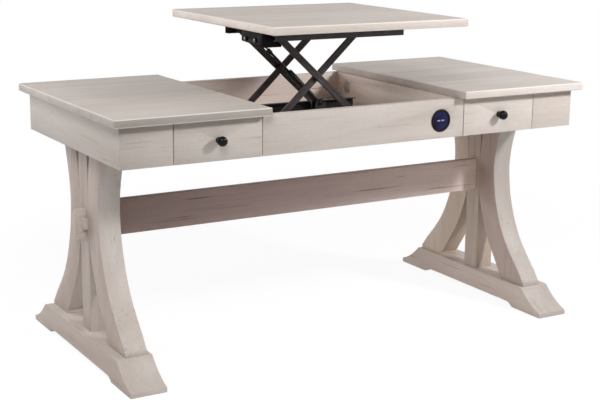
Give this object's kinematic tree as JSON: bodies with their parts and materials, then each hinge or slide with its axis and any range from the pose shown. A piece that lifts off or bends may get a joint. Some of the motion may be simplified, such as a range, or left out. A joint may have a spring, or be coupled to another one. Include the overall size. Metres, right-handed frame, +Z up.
{
  "type": "lift-top writing desk",
  "caption": "Writing desk on trestle ends with a middle panel that rises on a scissor lift, apron drawers and a round charger in the front apron",
  "frame": {"origin": "on the floor, under the middle of the desk", "axes": "+X to the right along the desk, -Y towards the user at the front, +Z up"},
  "size_m": [1.614, 0.788, 0.9965],
  "materials": {
    "wood": "white-washed, satin",
    "inside_wood": "matte",
    "black_steel": "satin black",
    "bright_steel": "satin",
    "black_plastic": "matte",
    "navy_gloss": "gloss",
    "knob_black": "satin black"
  },
  "bodies": {
    "desk": {"left_top": "wood", "right_top": "wood", "front_apron": "wood", "back_apron": "wood", "left_end_apron": "wood", "right_end_apron": "wood", "left_front_block": "wood", "right_front_block": "wood", "left_inner_partition": "inside_wood", "right_inner_partition": "inside_wood", "outer_partitions": "inside_wood", "compartment_floor": "inside_wood", "floor_cleats": "inside_wood", "drawer_runners": "inside_wood", "top_cleats": "inside_wood", "left_foot": "wood", "right_foot": "wood", "left_front_leg": "wood", "left_back_leg": "wood", "right_front_leg": "wood", "right_back_leg": "wood", "left_post": "wood", "right_post": "wood", "stretcher": "wood", "tusk_pegs": "wood", "charger_bezel": "black_plastic", "charger_face": "navy_gloss", "charger_body": "black_plastic", "charger_nut": "black_plastic", "lift_base_rails": "black_steel", "lift_base_crossbars": "black_steel", "lift_base_screws": "bright_steel", "strut_bracket": "black_steel"},
    "inner_arms": {"inner_arms": "black_steel", "inner_pins": "bright_steel", "top_rollers": "black_plastic", "centre_pins": "black_steel"},
    "outer_arms": {"outer_arms": "black_steel", "outer_pins": "bright_steel", "base_rollers": "black_plastic"},
    "lift_top": {"lift_panel": "wood", "top_rails": "black_steel", "top_plate": "black_steel", "cross_channel": "black_steel", "strut_seat": "black_steel", "seat_bolts": "bright_steel", "seat_nuts": "bright_steel", "strut_top_pin": "bright_steel", "panel_screws": "bright_steel"},
    "strut_rod": {"strut_rod": "bright_steel"},
    "strut_cylinder": {"strut_cylinder": "black_steel", "strut_foot_pin": "bright_steel"},
    "left_drawer": {"left_drawer_front": "wood", "left_drawer_frame": "inside_wood", "left_drawer_bottom": "inside_wood", "left_drawer_knob": "knob_black"},
    "right_drawer": {"right_drawer_front": "wood", "right_drawer_frame": "inside_wood", "right_drawer_bottom": "inside_wood", "right_drawer_knob": "knob_black"}
  },
  "joints": [
    {"name": "lift", "type": "hinge", "parent": "desk", "child": "inner_arms", "pos_m": [-0.22, -0.08, 0.69], "axis": [0, 1, 0], "range_deg": [0, 36.13]},
    {"name": "cross_pivot", "type": "hinge", "parent": "inner_arms", "child": "outer_arms", "pos_m": [-0.07556, -0.08, 0.82175], "axis": [0, 1, 0], "range_deg": [-73, 0.5]},
    {"name": "top_pivot", "type": "hinge", "parent": "outer_arms", "child": "lift_top", "pos_m": [-0.22, -0.08, 0.9535], "axis": [0, 1, 0], "range_deg": [-0.5, 37]},
    {"name": "strut_swing", "type": "hinge", "parent": "lift_top", "child": "strut_rod", "pos_m": [-0.22, -0.075, 0.9355], "axis": [0, 1, 0], "range_deg": [-47, 0.5]},
    {"name": "strut_stroke", "type": "slide", "parent": "strut_rod", "child": "strut_cylinder", "axis": [-0.7176, 0, 0.6964], "range_m": [-0.001, 0.088]},
    {"name": "left_drawer_slide", "type": "slide", "parent": "desk", "child": "left_drawer", "axis": [0, -1, 0], "range_m": [0, 0.3]},
    {"name": "right_drawer_slide", "type": "slide", "parent": "desk", "child": "right_drawer", "axis": [0, -1, 0], "range_m": [0, 0.3]}
  ],
  "couplings": [
    {"joint": "cross_pivot", "follows": "lift", "ratio": -2},
    {"joint": "top_pivot", "follows": "lift", "ratio": 1},
    {"joint": "strut_swing", "follows": "lift", "ratio": -1.2758},
    {"joint": "strut_stroke", "follows": "lift", "m_per_rad": 0.13707}
  ]
}
